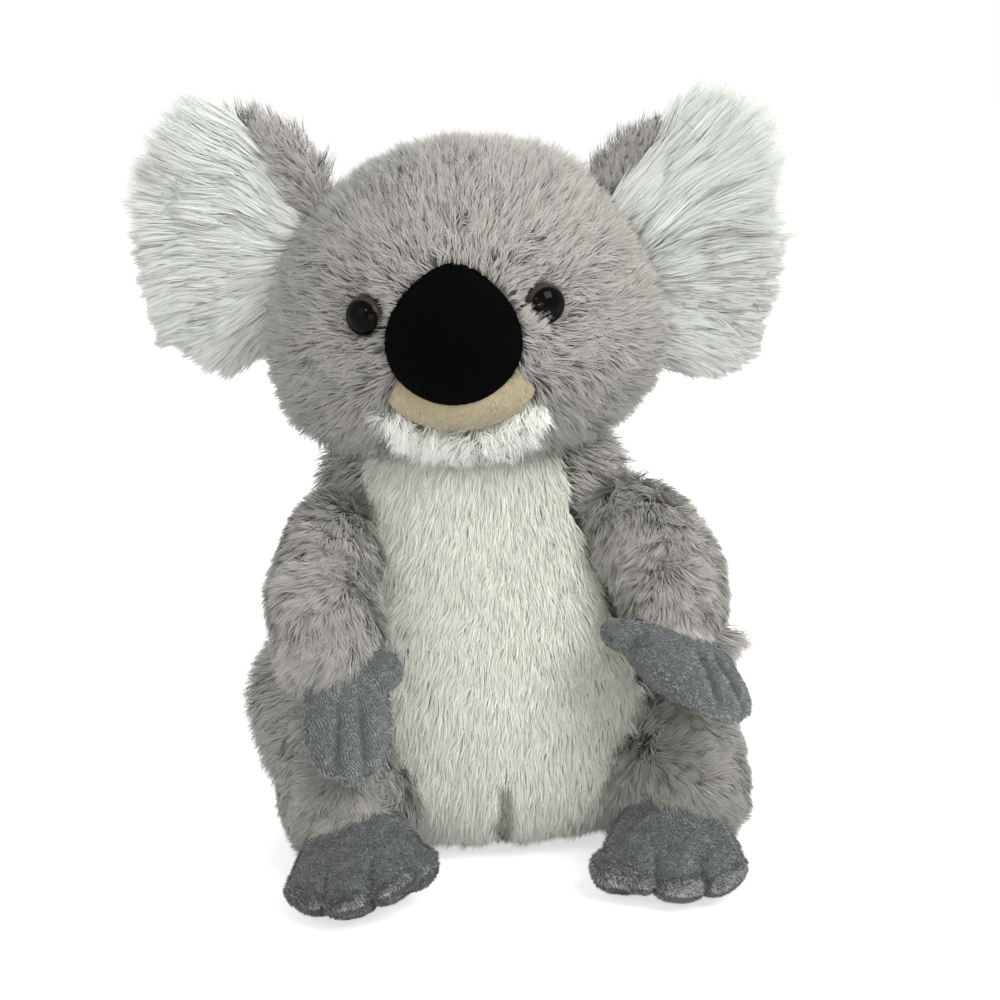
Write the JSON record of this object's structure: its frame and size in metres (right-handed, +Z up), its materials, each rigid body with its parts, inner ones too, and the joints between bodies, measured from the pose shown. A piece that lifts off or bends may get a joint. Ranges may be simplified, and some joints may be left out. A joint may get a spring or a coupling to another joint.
{
  "type": "plush koala",
  "caption": "Seated plush koala with grey body, white belly, big fluffy ears, oval black nose and velvety hands and feet; head, ears, arms and legs move.",
  "frame": {"origin": "middle of the flat seat under the torso, on the floor", "axes": "+Z up; the koala faces -Y; +X is the koala's own left"},
  "size_m": [0.2434, 0.1796, 0.2814],
  "materials": {
    "grey_plush": "long soft pile, darker at the roots",
    "white_plush": "soft pile",
    "ear_plush": "extra long pile in strands",
    "tan_velboa": "short dense pile",
    "black_velboa": "short dense pile",
    "slate_velboa": "short dense pile",
    "fibre": "loose polyester fibre",
    "eye_dome": "clear and polished over a dark iris",
    "eye_post": "moulded black",
    "eye_washer": "moulded natural white"
  },
  "bodies": {
    "torso": {"torso_cover": "grey_plush", "belly_panel": "white_plush", "torso_filling": "fibre"},
    "head": {"head_cover": "grey_plush", "chin_panel": "white_plush", "mouth_band": "tan_velboa", "nose_pad": "black_velboa", "nose_filling": "fibre", "head_filling": "fibre", "eye_dome_right": "eye_dome", "eye_dome_left": "eye_dome", "eye_post_right": "eye_post", "eye_post_left": "eye_post", "eye_washer_right": "eye_washer", "eye_washer_left": "eye_washer"},
    "ear_right": {"ear_front_right": "ear_plush", "ear_back_right": "grey_plush"},
    "ear_left": {"ear_front_left": "ear_plush", "ear_back_left": "grey_plush"},
    "arm_right": {"arm_cover_right": "grey_plush", "arm_filling_right": "fibre", "hand_back_right": "slate_velboa", "hand_palm_right": "slate_velboa"},
    "arm_left": {"arm_cover_left": "grey_plush", "arm_filling_left": "fibre", "hand_back_left": "slate_velboa", "hand_palm_left": "slate_velboa"},
    "leg_right": {"leg_cover_right": "grey_plush", "leg_filling_right": "fibre", "foot_top_right": "slate_velboa", "foot_sole_right": "slate_velboa"},
    "leg_left": {"leg_cover_left": "grey_plush", "leg_filling_left": "fibre", "foot_top_left": "slate_velboa", "foot_sole_left": "slate_velboa"}
  },
  "joints": [
    {"name": "head_turn", "type": "hinge", "parent": "torso", "child": "head", "pos_m": [-0.014, 0, 0.158], "axis": [0, 0, 1], "range_deg": [-20, 20], "stiffness_Nm_per_rad": 0.3},
    {"name": "ear_fold_right", "type": "hinge", "parent": "head", "child": "ear_right", "pos_m": [-0.07353, 0.00081, 0.221], "axis": [0.2726, -0.0407, 0.9613], "range_deg": [0, 25], "stiffness_Nm_per_rad": 0.05},
    {"name": "ear_fold_left", "type": "hinge", "parent": "head", "child": "ear_left", "pos_m": [0.03921, -0.01604, 0.215], "axis": [0.3383, -0.0506, -0.9397], "range_deg": [0, 25], "stiffness_Nm_per_rad": 0.05},
    {"name": "arm_lift_right", "type": "hinge", "parent": "torso", "child": "arm_right", "pos_m": [-0.05932, -0.012, 0.136], "axis": [-1, 0, 0], "range_deg": [0, 45]},
    {"name": "arm_lift_left", "type": "hinge", "parent": "torso", "child": "arm_left", "pos_m": [0.03468, -0.012, 0.136], "axis": [-1, 0, 0], "range_deg": [0, 45]},
    {"name": "leg_lift_right", "type": "hinge", "parent": "torso", "child": "leg_right", "pos_m": [-0.061, -0.045, 0.06], "axis": [-1, 0, 0], "range_deg": [0, 12]},
    {"name": "leg_lift_left", "type": "hinge", "parent": "torso", "child": "leg_left", "pos_m": [0.061, -0.045, 0.06], "axis": [-1, 0, 0], "range_deg": [0, 12]}
  ]
}
